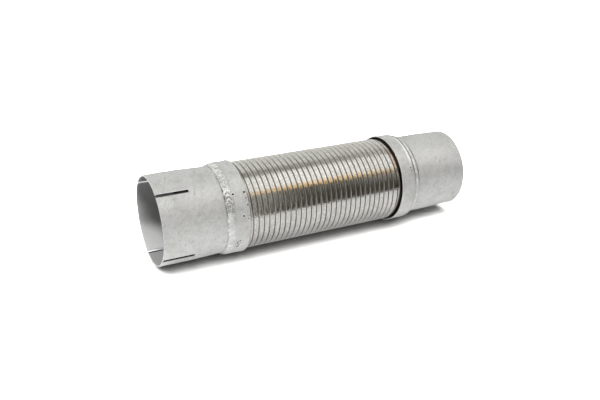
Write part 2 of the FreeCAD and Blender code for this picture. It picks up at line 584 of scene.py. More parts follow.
@dataclass(frozen=True)
class SheetFinish:
    """Aluminised sheet: matte and mottled, with fine grain, dots and stray scratches."""

    name: str
    light: Colour = (0.665, 0.665, 0.65)
    dark: Colour = (0.40, 0.40, 0.385)
    stain: Colour = (0.17, 0.165, 0.155)
    edge_highlight: Colour = (0.97, 0.97, 0.96)
    painted_shade: Colour = (0.015, 0.015, 0.015)
    # Each near slot's angle in degrees, and how far from it the painted shade reaches
    near_slots: tuple[Pair, ...] = ((52.5, 0.048), (-37.0, 0.066))
    slot_edge: Pair = (0.0252, 0.0262)
    slot_end: Pair = (48.5, 47.0)
    seams: tuple[float, ...] = (94.6, 107.0, 416.6, 429.0)
    seam_width: float = 1.3
    highlight_stations: tuple[Pair, Pair] = ((412.0, 413.5), (417.2, 416.4))
    highlight_angles: tuple[Pair, Pair] = ((0.45, 0.8), (1.6, 1.3))
    roughness: float = 0.44
    metallic: float = 0.30

    def material(self) -> Material:
        """The finish as a material."""
        metal = MetalBench(self.name)
        clouds = metal.cloud(0.035, 5.0, 0.6)
        patches = metal.cloud(0.12, 5.0, 0.7)
        peel = metal.cloud(0.75, 3.0, 0.6)
        grain = metal.cloud(2.0, 2.0)
        smudge = patches.ramp(0.52, 0.70) * clouds.ramp(0.50, 0.62)
        share = 0.58 + (clouds - 0.5) * 1.4 + (peel - 0.5) * 1.7 + (patches - 0.5) * 1.4
        rising, falling = metal.x + metal.z, metal.x - metal.z
        slant = metal.vector(rising * 0.06, falling * 0.26, metal.y * 0.06)
        smear = metal.noise(slant, 1.0, 3.0, 0.6).ramp(0.55, 0.72) * clouds.ramp(0.50, 0.60)
        share = share - smudge * 0.7 - smear * 0.9
        colour = metal.blend(share.clamp(), self.dark, self.light)
        dots = metal.dots(0.13, 0.075, 0.35) + metal.dots(0.4, 0.12, 0.12)
        long_lines = metal.scratches(metal.at(0.03, 0.33), 0.006, clouds.ramp(0.47, 0.60))
        short_lines = metal.scratches(metal.at(0.16, 0.55), 0.008, patches.ramp(0.56, 0.66))
        # Weld toe lines: part heat tint, part painted crease shade, darker on the upper side
        upper_side = 0.08 + metal.angle.ramp(-0.25, 0.45) * 0.5
        heat_tint_and_shade = 0.0
        for seam in self.seams:
            heat_tint_and_shade += (metal.x - seam).maths("ABSOLUTE").ramp(self.seam_width, self.seam_width * 0.3)
        broken = patches.ramp(0.42, 0.62) + (metal.x > 425.0) * 0.9
        marks = dots * 0.55 + long_lines * 0.30 + short_lines * 0.40 + heat_tint_and_shade * broken * upper_side
        marks = marks.clamp()
        # A painted highlight on the outlet pressing's shoulder, beside the upper part of its weld
        shoulder_highlight = metal.x.band(*self.highlight_stations) * metal.angle.band(*self.highlight_angles)
        colour = metal.blend(shoulder_highlight * 0.7, colour, self.edge_highlight)
        colour = metal.blend(marks, colour, self.stain)
        # Each near slot: a painted highlight on its upper edge, painted shade on its lower edge
        edge_highlight, painted_shade = 0.0, 0.0
        inner, outer = self.slot_edge
        for slot, reach in self.near_slots:
            above = metal.angle - math.radians(slot)
            edge_highlight += above.band((inner, outer), (0.038, 0.032))
            painted_shade += above.band((-inner, -outer), (-reach, 0.008 - reach))
        along = metal.x.ramp(*self.slot_end)
        colour = metal.blend(edge_highlight * along * 0.8, colour, self.edge_highlight)
        colour = metal.blend(painted_shade * along * 0.96, colour, self.painted_shade)
        roughness = self.roughness + (patches - 0.5) * 0.24 + (grain - 0.5) * 0.12
        height = peel * 0.07 + grain * 0.02 + patches * 0.16 - marks * 0.05
        return metal.finish(colour, roughness, height, self.metallic)


@dataclass(frozen=True)
class BoreFinish:
    """The inside of a tube: matte sheet with painted shade that darkens it away from its open end.
    """

    name: str
    mouth: float
    inward: float
    light: Colour = (0.99, 0.99, 0.98)
    dark: Colour = (0.80, 0.80, 0.79)
    dark_tone: Colour = (0.20, 0.20, 0.195)
    painted_shade: Colour = (0.04, 0.04, 0.04)
    lit_depth: float = 22.0
    shade_depth: float = 66.0
    deep_shade: float = 0.0
    # The angles of the two far slots
    upper_slot: float = 2.426
    lower_slot: float = -1.990
    slot_edge: Pair = (0.0250, 0.0262)
    slot_end: Pair = (48.5, 47.0)
    roughness: float = 0.6
    metallic: float = 0.15

    def material(self) -> Material:
        """The finish as a material."""
        metal = MetalBench(self.name)
        clouds = metal.cloud(0.04, 4.0, 0.6)
        grain = metal.cloud(0.7, 3.0, 0.7)
        sheet = metal.blend((clouds + grain * 1.6 - 0.55).clamp(), self.dark, self.light)
        depth = (metal.x - self.mouth) * self.inward + (clouds - 0.5) * 14.0
        # Under the roof the painted shade begins nearer the mouth, as less light from above gets in
        roof = metal.z.ramp(-54.0, -18.0) * 42.0 + metal.z.ramp(-10.0, 30.0) * 18.0
        # Painted shade on the tongue between the two lowest slots, strongest near the mouth
        tongue = metal.angle.band((-1.99, -1.96), (-0.60, -0.70))
        sheet = metal.blend(tongue * metal.x.ramp(70.0, 20.0) * 0.55, sheet, self.dark_tone)
        # Painted shade darkens the bore away from its open end
        depth_shade = (depth + roof).ramp(self.lit_depth, self.shade_depth)
        colour = metal.blend(depth_shade, sheet, self.dark_tone)
        # Deep in the bore the painted shade darkens further; it starts furthest in at the far,
        # lower side
        reach = (metal.y * 0.84 - metal.z * 0.37).maths("MAXIMUM", 25.0)
        deep = ((metal.x - self.mouth) * self.inward - reach).ramp(2.0, 10.0)
        colour = metal.blend(deep * self.deep_shade, colour, self.painted_shade)
        # Painted shade lies along one edge of each far slot, and a painted highlight along the
        # other edge of the upper one
        along = metal.x.ramp(*self.slot_end)
        high = (self.upper_slot - metal.angle).band(self.slot_edge, (0.046, 0.036))
        low = (metal.angle - self.lower_slot).band(self.slot_edge, (0.078, 0.062))
        colour = metal.blend((high + low) * along * 0.85, colour, self.painted_shade)
        edge_highlight = (metal.angle - self.upper_slot).band(self.slot_edge, (0.046, 0.036))
        colour = metal.blend(edge_highlight * along * 0.7, colour, self.light)
        roughness = self.roughness + (clouds - 0.5) * 0.2
        return metal.finish(colour, roughness, grain * 0.01, self.metallic)


@dataclass(frozen=True)
class CutEdgeFinish:
    """A sheared edge of the sheet: brighter steel with fine marks across it."""

    name: str
    light: Colour = (0.84, 0.84, 0.83)
    dark: Colour = (0.66, 0.66, 0.65)
    slot_wall_shade: Colour = (0.018, 0.018, 0.017)
    slot_end: float = 60.0
    roughness: float = 0.36
    metallic: float = 0.2

    def material(self) -> Material:
        """The finish as a material."""
        metal = MetalBench(self.name)
        marks = metal.noise(metal.at(2.0, 2.0), 1.0, 2.0)
        colour = metal.blend(marks, self.dark, self.light)
        # The walls of the near slots are painted dark, as shade
        in_slot = metal.x.ramp(0.8, 2.0) * (metal.x < self.slot_end)
        shaded = in_slot * (metal.y < 10.0)
        colour = metal.blend(shaded, colour, self.slot_wall_shade)
        roughness = self.roughness + (marks - 0.5) * 0.1 + shaded * 0.6
        return metal.finish(colour, roughness, marks * 0.01, (1.0 - shaded) * self.metallic)


@dataclass(frozen=True)
class StripFinish:
    """Bright rolled strip: glossy bands with a brown tint down between the turns."""

    name: str
    bright: Colour = (0.78, 0.77, 0.74)
    dull: Colour = (0.46, 0.45, 0.42)
    tint: Colour = (0.58, 0.53, 0.46)
    collar_shade: Colour = (0.10, 0.07, 0.05)
    rust: Colour = (0.34, 0.17, 0.07)
    roughness: float = 0.13
    crest_radius: float = 66.7
    groove_radius: float = 65.0
    inlet_shade: Pair = (133.0, 129.5)
    outlet_shade: Pair = (386.0, 390.5)
    groove_shade: Pair = (366.0, 380.0)
    rust_start: Pair = (382.5, 386.0)
    rust_angles: tuple[Pair, Pair] = ((0.45, 0.7), (1.25, 0.95))

    def material(self) -> Material:
        """The finish as a material."""
        metal = MetalBench(self.name)
        clouds = metal.noise(metal.at(0.06, 0.06), 1.0, 4.0, 0.6)
        lines = metal.noise(metal.at(5.0, 0.05), 1.0, 2.0, 0.6)
        specks = metal.cloud(1.1, 3.0, 0.65)
        dents = metal.cloud(0.30, 3.0, 0.6)
        share = (clouds * 0.8 + lines * 1.2 + specks * 4.0 + dents * 2.0 - 3.5).clamp()
        crest = metal.blend(share, self.dull, self.bright)
        depth = metal.radius.ramp(self.crest_radius - 0.4, self.groove_radius)
        colour = metal.blend(depth * 0.7, crest, self.tint)
        # Painted shade under each collar's mouth, and in the grooves before the outlet collar
        shade_near_collars = metal.x.ramp(*self.outlet_shade) + metal.x.ramp(*self.inlet_shade)
        shade_near_collars += depth * metal.x.ramp(*self.groove_shade) * 0.8
        colour = metal.blend((shade_near_collars * 0.8).clamp(), colour, self.collar_shade)
        rusty = metal.x.ramp(*self.rust_start) * metal.angle.band(*self.rust_angles)
        colour = metal.blend(rusty * dents.ramp(0.40, 0.60) * 0.6, colour, self.rust)
        roughness = self.roughness + (clouds - 0.5) * 0.06 + (specks - 0.5) * 0.08 + depth * 0.2
        height = lines * 0.012 + specks * 0.045 + dents * 0.20
        return metal.finish(colour, roughness, height)


@dataclass(frozen=True)
class WeldFinish:
    """Weld metal: bright lumps, grey film in the dips and dark lines along both toes."""

    name: str
    light: Colour = (0.94, 0.94, 0.93)
    dark: Colour = (0.55, 0.55, 0.53)
    dark_tone: Colour = (0.10, 0.095, 0.085)
    roughness: float = 0.17
    metallic: float = 0.95
    lumps: float = 0.9
    toe_width: float = 0.6
    brokenness: float = 0.85

    def material(self) -> Material:
        """The finish as a material."""
        metal = MetalBench(self.name)
        film = metal.cloud(0.20, 4.0, 0.6)
        lumps = metal.cloud(0.28, 2.0, 0.45)
        grain = metal.cloud(1.8, 2.0)
        # The upper side has painted light, and is shinier and lumpier, with darker toes
        upper_side = metal.angle.ramp(-0.10, 0.60)
        crown = metal.angle.ramp(0.75, 1.15)
        ridge = metal.mark("swell")
        valley = metal.mark("beat").ramp(0.45, 0.0)
        patch = metal.cloud(0.08, 2.0) - 0.5
        share = film * 1.9 - 0.75 - valley * (1.8 - upper_side * 1.5) + upper_side * 0.45 + patch * 1.6
        colour = metal.blend(share.clamp(), self.dark, self.light)
        # The toe lines are part burnt tint and part painted shade in the creases
        toe = (ridge**UNCROWN_POWER).ramp(self.toe_width, self.toe_width * 0.4)
        broken = 1.0 - film.ramp(0.46, 0.56) * self.brokenness
        pits = metal.dots(0.33, 0.16, 0.3) * upper_side
        burnt = toe * broken * (0.28 + upper_side * 0.57 - crown * self.brokenness * 0.6) + pits * 0.8
        colour = metal.blend(burnt.clamp(), colour, self.dark_tone)
        roughness = self.roughness + (film - 0.5) * 0.3 + toe * 0.3 + (1.0 - upper_side) * 0.26
        height = lumps * self.lumps * (0.4 + upper_side * 0.4) + grain * 0.06 - pits * 0.2
        return metal.finish(colour, roughness, height, (0.25 + upper_side * 0.75) * self.metallic)


@dataclass(frozen=True)
class SpotFinish:
    """Burnt spatter: dark beads with a slight gloss."""

    name: str
    colour: Colour = (0.07, 0.068, 0.06)
    roughness: float = 0.38

    def material(self) -> Material:
        """The finish as a material."""
        metal = MetalBench(self.name)
        grain = metal.cloud(1.6, 2.0)
        return metal.finish(self.colour, self.roughness, grain * 0.08, 0.5)


# Sheet pieces


class Dress(NamedTuple):
    """The finishes of a sheet piece, in the order of its material slots."""

    outside: Material
    inside: Material
    edge: Material


@dataclass
class SheetRing:
    """A ring of even sheet that follows an outer line, with bore and edge finishes."""

    piece: str
    line: Section
    sheet: float
    dress: Dress
    columns: int = 224
    edge_round: float = 0.3 * MM
    sharp_from: float = 55.0

    def angles(self) -> list[float]:
        """The columns' angles."""
        return [FULL_TURN * number / self.columns for number in range(self.columns)]

    def corner(self, row: int, column: int, angle: float) -> Vector:
        """The point of the grid at a row and a column."""
        station, radius = self.line[row]
        return polar(station, radius, angle)

    def is_open(self, row: int, column: int) -> bool:
        """Whether the cell above a row and beside a column is cut away."""
        return False

    def shell(self) -> Piece:
        """The outer surface, before it has a thickness."""
        angles = self.angles()
        places: dict[tuple[int, int], int] = {}
        points: list[Vector] = []
        cells: list[tuple[int, ...]] = []

        def at(row: int, column: int) -> int:
            """The number of a grid point, which is made when it is first needed."""
            key = (row, column % len(angles))
            if key not in places:
                places[key] = len(points)
                points.append(self.corner(*key, angles[key[1]]))
            return places[key]

        for row in range(len(self.line) - 1):
            for column in range(len(angles)):
                if not self.is_open(row, column):
                    cells.append(tuple(at(row + down, column + over) for down, over in CELL))
        return new_piece(self.piece, points, cells)

    def build(self) -> Piece:
        """The ring with its thickness, its softened edges and its finishes."""
        piece = self.shell()
        for finish in self.dress:
            piece.data.materials.append(finish)
        outward = sum(
            face.normal.dot(face.center - Vector((face.center.x, 0, AXIS_Z)))
            for face in piece.data.polygons
        )
        if outward < 0:
            piece.data.flip_normals()
        wall = piece.modifiers.new("wall", "SOLIDIFY")
        wall.thickness = self.sheet
        wall.offset = -1.0
        wall.use_even_offset = True
        wall.material_offset = 1
        wall.material_offset_rim = 2
        soft = piece.modifiers.new("soft_edges", "BEVEL")
        soft.width = self.edge_round
        soft.segments = 2
        soft.limit_method = "ANGLE"
        soft.angle_limit = math.radians(self.sharp_from)
        baked(piece)
        face_outwards(piece)
        return piece


@dataclass
class SlottedRing(SheetRing):
    """A sheet ring with clamping slots that are open at its first row."""

    slots: tuple[float, ...] = (52.5, 139.0, 246.0, 323.0)
    slot_width: float = 3.5 * MM
    slot_length: float = 47.5 * MM
    join: float = 53.0 * MM
    between: int = 56
    across: tuple[float, ...] = (-1.0, -0.9239, -0.7071, -0.3827, 0.0, 0.3827, 0.7071, 0.9239, 1.0)

    @property
    def straight_end(self) -> float:
        """The station at which the slots' straight sides end."""
        return self.slot_length - self.slot_width / 2

    def angles(self) -> list[float]:
        """Columns that follow both edges of every slot."""
        half = math.asin(self.slot_width / 2 / self.line[0][1])
        middles = [math.radians(slot) for slot in self.slots]
        found = []
        for middle, following in zip(middles, middles[1:] + [middles[0] + FULL_TURN]):
            found += [middle + half * share for share in self.across]
            start = middle + half
            span = following - half - start
            found += [start + span * step / self.between for step in range(1, self.between)]
        return found

    def share_of(self, column: int) -> float | None:
        """How far across its slot a column lies, or None outside the slots."""
        step = column % (len(self.across) + self.between - 1)
        return self.across[step] if step < len(self.across) else None

    def corner(self, row: int, column: int, angle: float) -> Vector:
        """The grid's point, drawn back to the slot's round end where it meets one."""
        station, radius = self.line[row]
        share = self.share_of(column)
        straight_end = self.straight_end
        if share is not None and straight_end - TOUCHING <= station <= self.join:
            reach = self.slot_width / 2 * math.sqrt(max(0.0, 1 - share * share))
            slack = (self.join - straight_end - reach) / (self.join - straight_end)
            station = straight_end + reach + (station - straight_end) * slack
            radius = radius_on(self.line, station)
        return polar(station, radius, angle)

    def is_open(self, row: int, column: int) -> bool:
        """Whether the cell lies in the straight stretch of a slot."""
        step = column % (len(self.across) + self.between - 1)
        inside = step < len(self.across) - 1
        return inside and self.line[row][0] < self.straight_end - TOUCHING


@dataclass
class InletTube:
    """The slotted socket, its long taper, the neck and the spigot inside the hose."""

    dress: Dress
    sheet: float = 2.0 * MM
    socket_radius: float = 67.5 * MM
    socket_length: float = 48.5 * MM
    taper_end: float = 104.0 * MM
    taper_radius: float = 65.5 * MM
    neck_end: float = 110.0 * MM
    spigot_radius: float = 63.5 * MM
    length: float = 136.0 * MM
    slot_straight: float = 45.75 * MM
    row_gap: float = MM / 5

    def line(self) -> Section:
        """The outer line, with rows where the slots and their round ends need them."""
        bends = rounded_line(
            [
                (0.0, self.socket_radius, 0.0),
                (self.socket_length, self.socket_radius, 2.4 * MM),
                (self.taper_end, self.taper_radius, 2.0 * MM),
                (self.neck_end, self.spigot_radius, 2.0 * MM),
                (self.length, self.spigot_radius, 0.0),
            ]
        )
        # Rows along the slots, round their ends, and down the taper and the neck
        extra = [step * 4.6 * MM for step in range(1, 11)]
        extra += [self.slot_straight + step * MM for step in (3, 5, 7)]
        extra += [step * MM for step in (60, 68, 76, 84, 92, 98, 116, 124)]
        known = [x for x, _ in bends]
        extra = [x for x in extra if min(abs(x - k) for k in known) > self.row_gap]
        return sorted(bends + [(x, radius_on(bends, x)) for x in extra])

    def build(self) -> Piece:
        """The tube, seated in place of its solid."""
        ring = SlottedRing("inlet_tube_sheet", self.line(), self.sheet, self.dress)
        return seat(ring.build(), Slot.TUBE, "slotted_inlet_tube")


@dataclass
class OutletTube:
    """The plain tube from inside the hose to the sized free end."""

    dress: Dress
    sheet: float = 2.0 * MM
    start: float = 386.0 * MM
    cone_start: float = 472.5 * MM
    cone_end: float = 506.0 * MM
    end: float = 520.0 * MM
    radius: float = 63.5 * MM
    sized_radius: float = 62.5 * MM

    def build(self) -> Piece:
        """The tube, seated in place of its solid."""
        line = rounded_line(
            [
                (self.start, self.radius, 0.0),
                (self.cone_start, self.radius, 4.0 * MM),
                (self.cone_end, self.sized_radius, 4.0 * MM),
                (self.end, self.sized_radius, 0.0),
            ]
        )
        ring = SheetRing("outlet_tube_sheet", line, self.sheet, self.dress)
        return seat(ring.build(), Slot.TUBE, "outlet_tube")


@dataclass
class Collar:
    """A pressed collar with a flared mouth towards the hose and a swaged tail."""

    flow: Flow
    mouth: float
    node: str
    dress: Dress
    sheet: float = 1.5 * MM
    length: float = 28.5 * MM
    radius: float = 69.9 * MM
    flare_length: float = 8.0 * MM
    mouth_radius: float = 70.5 * MM
    shoulder_length: float = 6.0 * MM
    tail_radius: float = 67.43 * MM
    edge_round: float = 0.45 * MM

    def build(self) -> Piece:
        """The collar, seated in place of its solid."""
        way = self.flow.value
        corners = [
            (self.mouth, self.mouth_radius, 0.0),
            (self.mouth + way * self.flare_length, self.radius, 3.5 * MM),
            (self.mouth + way * (self.length - self.shoulder_length), self.radius, 2.6 * MM),
            (self.mouth + way * self.length, self.tail_radius, 0.0),
        ]
        ring = SheetRing(
            f"{self.node}_pressing",
            rounded_line(corners[::way], 7),
            self.sheet,
            self.dress,
            edge_round=self.edge_round,
        )
        return seat(ring.build(), Slot.COLLAR, self.node)


# Wound hose


@dataclass
class WoundHose:
    """The interlocked hose: one strip folded to an S and wound into a right-hand helix."""

    finish: Material
    bore_radius: float = 63.8 * MM
    pitch: float = 8.63 * MM
    sheet: float = 0.45 * MM
    land: float = 0.25 * MM
    crest: float = 2.75 * MM
    first_turn: float = 118.4 * MM
    last_turn: float = 403.4 * MM
    phase_station: float = 126.835 * MM
    phase_angle: float = math.radians(20)
    steps_per_turn: int = 80
    draw_in: float = 0.28
    inlet_drawing: Pair = (133.5, 128.0)
    outlet_drawing: Pair = (384.5, 390.0)
    waver: float = 0.10 * MM
    seed: int = 7

    def fold(self) -> Section:
        """The middle line of the folded strip, along the axis and above the bore."""
        low, high = self.land, self.crest
        # Station in millimetres, the level that each point is counted from, and its rise in
        # millimetres from there
        places = [
            (-6.0, 0.0, 1.7),
            (-6.0, low, 0.5),
            (-5.86, low, 0.14),
            (-5.5, low, 0.0),
            (-0.5, low, 0.0),
            (-0.14, low, 0.14),
            (0.0, low, 0.5),
            (0.0, high, -0.5),
            (0.14, high, -0.14),
            (0.5, high, 0.0),
            (0.9, high, 0.0),
            (6.0, high, 0.0),
            (6.4, high, 0.0),
            (6.76, high, -0.14),
            (6.9, high, -0.5),
            (6.9, 0.0, 1.2),
        ]
        return [(x * MM, level + rise * MM) for x, level, rise in places]

    def section(self) -> Piece:
        """The closed section as loose points, each with its lean off the middle line."""
        fold = [Vector(point) for point in self.fold()]
        leans = []
        for number, point in enumerate(fold):
            before = point - fold[number - 1] if number else fold[1] - point
            after = fold[number + 1] - point if number + 1 < len(fold) else before
            heading = (before.normalized() + after.normalized()).normalized()
            square = Vector((-heading.y, heading.x))
            leans.append(square / max(0.5, square.dot(Vector((-after.y, after.x)).normalized())))
        points = [(p.x, 0.0, p.y) for p in fold + fold[::-1]]
        offsets = [(n.x, 0.0, n.y) for n in leans] + [(-n.x, 0.0, -n.y) for n in leans[::-1]]
        piece = new_piece("strip_section", points)
        lean = piece.data.attributes.new("lean", "FLOAT_VECTOR", "POINT")
        for item, offset in zip(lean.data, offsets):
            item.vector = offset
        return piece

    def build(self) -> Piece:
        """The wound strip, seated in place of the hose's solid."""
        section = self.section()
        count = len(section.data.vertices)
        turns = (self.last_turn - self.first_turn) / self.pitch
        phase = self.phase_angle - FULL_TURN * (self.first_turn - self.phase_station) / self.pitch
        tree = MeshBench("wound strip")
        solid = tree.solid("Section", section)
        points = tree.size("Points in the section", count)
        steps = tree.size("Steps", round(turns * self.steps_per_turn))
        length = tree.size("Turns", turns)
        pitch = tree.size("Pitch", self.pitch)
        bore = tree.size("Bore radius", self.bore_radius)
        start = tree.size("Start", MOUTH_X + self.first_turn)
        first_angle = tree.size("First angle", phase)
        sheet = tree.size("Sheet", self.sheet)
        waver = tree.size("Waver", self.waver)
        seed = tree.size("Seed", float(self.seed))
        draw_in = tree.size("Draw in under the collars", self.draw_in)

        grid, along, number = tree.ribbon(points, steps)
        middle = tree.add("GeometryNodeInputPosition")
        vector = {"data_type": "FLOAT_VECTOR"}
        lean = tree.add("GeometryNodeInputNamedAttribute", vector, {"Name": "lean"}, "Attribute")
        mid_x, _, mid_z = tree.sampled(solid, middle, number)
        lean_x, _, lean_z = tree.sampled(solid, lean, number)
        # The strip runs out to a thin edge at both of its ends, which closes the mesh
        thin = (along.maths("MINIMUM", 1.0 - along) * steps).clamp() * sheet / 2.0
        turned = along * length
        drift = tree.noise(tree.vector(turned * 0.9, seed, 0.0), 1.0, 2.0) - 0.5
        swell = tree.noise(tree.vector(turned * 2.3, seed + 5.0, 0.0), 1.0, 1.0) - 0.5
        station = start + turned * pitch + mid_x + lean_x * thin + drift * waver * 2.4
        from_mouth = (station - MOUTH_X) / MM
        drawn = from_mouth.ramp(*self.outlet_drawing) + from_mouth.ramp(*self.inlet_drawing)
        shrink = 1.0 - drawn * draw_in
        radius = bore + mid_z * shrink + lean_z * thin + swell * waver * (mid_z > 2.0 * MM)
        closed = tree.wrapped(grid, station, radius, first_angle - turned * FULL_TURN)
        piece = tree.build("wound_strip", closed, self.finish)
        bpy.data.objects.remove(section)
        face_outwards(piece, crease=50.0)
        return seat(piece, Slot.STRIP, "wound_hose")


# Welds


@dataclass
class WeldRun:
    """A fillet weld round a tube, laid in overlapping ripples."""

    piece: str
    node: str
    slot: Slot
    finish: Material
    seat_station: float
    toe_station: float
    seat_radius: float
    toe_radius: float
    crown: float
    ripples: int
    ripple_height: float
    wander: float
    seed: int
    around: int = 1280
    across: int = 20
    root_depth: float = 0.5 * MM

    def section(self) -> list[Point]:
        """Station, radius and swell of the closed section: the face, then back by the root."""
        found = []
        for step in range(self.across + 1):
            t = step / self.across
            bow = (1.0 - (2.0 * t - 1.0) ** 2) ** CROWN_POWER
            station = self.seat_station + (self.toe_station - self.seat_station) * t
            radius = self.seat_radius + (self.toe_radius - self.seat_radius) * t
            found.append((station, radius + self.crown * bow, bow))
        root = self.toe_radius - self.root_depth
        return found + [(self.toe_station, root, 0.0), (self.seat_station, root, 0.0)]

    def build(self) -> Piece:
        """The weld, seated in place of its solid."""
        section = self.section()
        pattern = new_piece("weld_section", [(x, swell, r) for x, r, swell in section])

        tree = MeshBench("rippled weld")
        solid = tree.solid("Section", pattern)
        points = tree.size("Points in the section", len(section))
        steps = tree.size("Steps round the pipe", self.around)
        ripples = tree.size("Ripples", float(self.ripples))
        height = tree.size("Ripple height", self.ripple_height)
        wander = tree.size("Wander", self.wander)
        mouth = tree.size("Mouth", MOUTH_X)
        seed = tree.size("Seed", float(self.seed))

        grid, along, number = tree.ribbon(points, steps)
        middle = tree.add("GeometryNodeInputPosition")
        station, swell, radius = tree.sampled(solid, middle, number)
        turn = along * FULL_TURN
        cosine, sine = turn.maths("COSINE"), turn.maths("SINE")
        slow = tree.noise(tree.vector(cosine * 5.0, sine * 5.0, seed), 1.0, 3.0) - 0.5
        quick = tree.noise(tree.vector(cosine * 26.0, sine * 26.0, seed + 3.0), 1.0, 2.0) - 0.5
        # Each ripple is a crescent that lags behind at both edges of the run
        lag = (1.0 - swell**UNCROWN_POWER).maths("SQRT") * 0.9
        beat = (along * ripples + lag + slow * 2.0 + quick * 0.7).maths("FRACT")
        hump = 1.0 - (beat * 2.0 - 1.0) ** 2.0
        raised = swell * (height * hump + quick * height + slow * wander)
        edge = (1.0 - swell) * (quick * wander + slow * wander)
        noted = tree.note(tree.note(grid, "swell", swell), "beat", hump)
        station = mouth + station + edge * (swell > 0.001) + slow * wander * 0.5
        closed = tree.wrapped(noted, station, radius + raised, turn)
        piece = tree.build(self.piece, closed, self.finish)
        bpy.data.objects.remove(pattern)
        face_outwards(piece, crease=60.0)
        return seat(piece, self.slot, self.node)


@dataclass
class Spatter:
    """Small beads of weld metal that stuck to the sheet beside a weld."""

    piece: str
    slot: Slot
    finish: Material
    carrier: Piece
    start: float
    end: float
    density: float
    seed: int
    smallest: float = 0.18 * MM
    largest: float = 0.55 * MM

    def build(self) -> Piece:
        """The beads as one piece."""
        tree = MeshBench("spatter")
        solid = tree.solid("Surface", self.carrier)
        start = tree.size("From", MOUTH_X + self.start)
        end = tree.size("To", MOUTH_X + self.end)
        density = tree.size("Density", self.density)
        smallest = tree.size("Smallest", self.smallest)
        largest = tree.size("Largest", self.largest)
        seed = tree.size("Seed", self.seed)

        x, y, z = tree.part_of(tree.add("GeometryNodeInputPosition"))
        _, normal_y, normal_z = tree.part_of(tree.add("GeometryNodeInputNormal"))
        outside = (normal_y * y + normal_z * (z - AXIS_Z)) > 0.0
        chosen = (x > start) * (x < end) * outside
        spots = tree.add(
            "GeometryNodeDistributePointsOnFaces",
            {},
            {"Mesh": solid, "Selection": chosen, "Density": density, "Seed": seed},
        )
        bead = tree.add("GeometryNodeMeshIcoSphere", {}, {"Radius": 1.0, "Subdivisions": 2})
        size = tree.add(
            "FunctionNodeRandomValue",
            {},
            {"Min_001": smallest, "Max_001": largest, "Seed": seed},
            "Value_001",
        )
        scale = tree.vector(size, size, size * 0.6)
        beads = tree.add(
            "GeometryNodeInstanceOnPoints",
            {},
            {"Points": spots, "Instance": bead, "Rotation": spots.side("Rotation"), "Scale": scale},
        )
        piece = tree.build(self.piece, beads, self.finish)
        face_outwards(piece, crease=80.0)
        return seat(piece, self.slot)


@dataclass(frozen=True)
class Spot:
    """One burnt bead on the sheet: where it sits and how large it is."""

    station: float
    angle: float
    radius: float
    length: float = 1.0


@dataclass
class BurntSpots:
    """The burnt beads that stuck beside the welds, placed one by one."""

    piece: str
    slot: Slot
    finish: Material
    splash: Material
    carrier: Piece
    spots: tuple[tuple[float, ...], ...]
    # The spread and the rise of the splash and of the bead on it, in radii
    layers: tuple[Pair, ...] = ((2.7, 0.12), (1.9, 0.4))
    ragged: float = 0.5
    lumpiness: float = 1.3
    variety: float = 900.0
    clear_of_pipe: float = 200 * MM

    def build(self) -> Piece:
        """The beads as one piece, each sunk a little into the sheet below it."""
        shape = bmesh.new()
        for spot in (Spot(*row) for row in self.spots):
            angle = math.radians(spot.angle)
            above = polar(spot.station * MM, self.clear_of_pipe, angle)
            inwards = (polar(spot.station * MM, 0.0, angle) - above).normalized()
            struck, point, normal, _ = self.carrier.ray_cast(above, inwards)
            if not struck:
                raise ValueError(f"no sheet below the spot at {spot}")
            turn = normal.to_track_quat("Z", "X").to_matrix().to_4x4()
            for number, (spread, rise) in enumerate(self.layers):
                radius = spot.radius * spread * MM
                flat = Matrix.Diagonal((radius, radius * spot.length, radius * rise, 1.0))
                place = Matrix.Translation(point) @ turn @ flat
                before = len(shape.faces)
                made = bmesh.ops.create_icosphere(shape, subdivisions=2, radius=1.0)
                for vertex in made["verts"]:
                    lump = noise.noise(vertex.co * self.lumpiness + point * self.variety)
                    vertex.co *= 1.0 + self.ragged * lump
                bmesh.ops.transform(shape, matrix=place, verts=made["verts"])
                shape.faces.ensure_lookup_table()
                for face in shape.faces[before:]:
                    face.material_index = number
        piece = new_piece(self.piece)
        shape.to_mesh(piece.data)
        shape.free()
        piece.data.materials.append(self.splash)
        piece.data.materials.append(self.finish)
        face_outwards(piece, crease=80.0)
        return seat(piece, self.slot)


# Studio


RAYS = ("camera", "diffuse", "glossy", "shadow", "transmission", "volume_scatter")


def stage(piece: Piece, finish: Material, *rays: str) -> None:
    """Puts a piece of the studio in place.

    Args:
        piece: The table, backdrop or card.
        finish: Its material.
        rays: The kinds of ray that see it; no other kind does.
    """
    piece.data.materials.append(finish)
    for ray in RAYS:
        setattr(piece, f"visible_{ray}", ray in rays)
    piece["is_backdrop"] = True


def stage_sheet(name: str, places: list[Point], finish: Material, *rays: str) -> None:
    """A flat sheet of the studio.

    Args:
        name: Its name.
        places: Its four corners in turn.
        finish: Its material.
        rays: The kinds of ray that see it.
    """
    stage(new_piece(name, places, [(0, 1, 2, 3)]), finish, *rays)


def glow(name: str, colour: Colour, strength: float = 1.0) -> Material:
    """An even light of a colour, as a material."""
    bench = MaterialBench(name)
    values = {"Color": colour, "Strength": strength}
    return bench.closed(bench.add("ShaderNodeEmission", {}, values))


def matt(name: str, share: float, own_light: float = 0.0) -> Material:
    """An even white that sends back a share of its light and may add some, as a material."""
    bench = MaterialBench(name)
    white = bench.add("ShaderNodeBsdfDiffuse", {}, {"Color": (share, share, share)})
    return bench.closed(white, bench.add("ShaderNodeEmission", {}, {"Strength": own_light}))


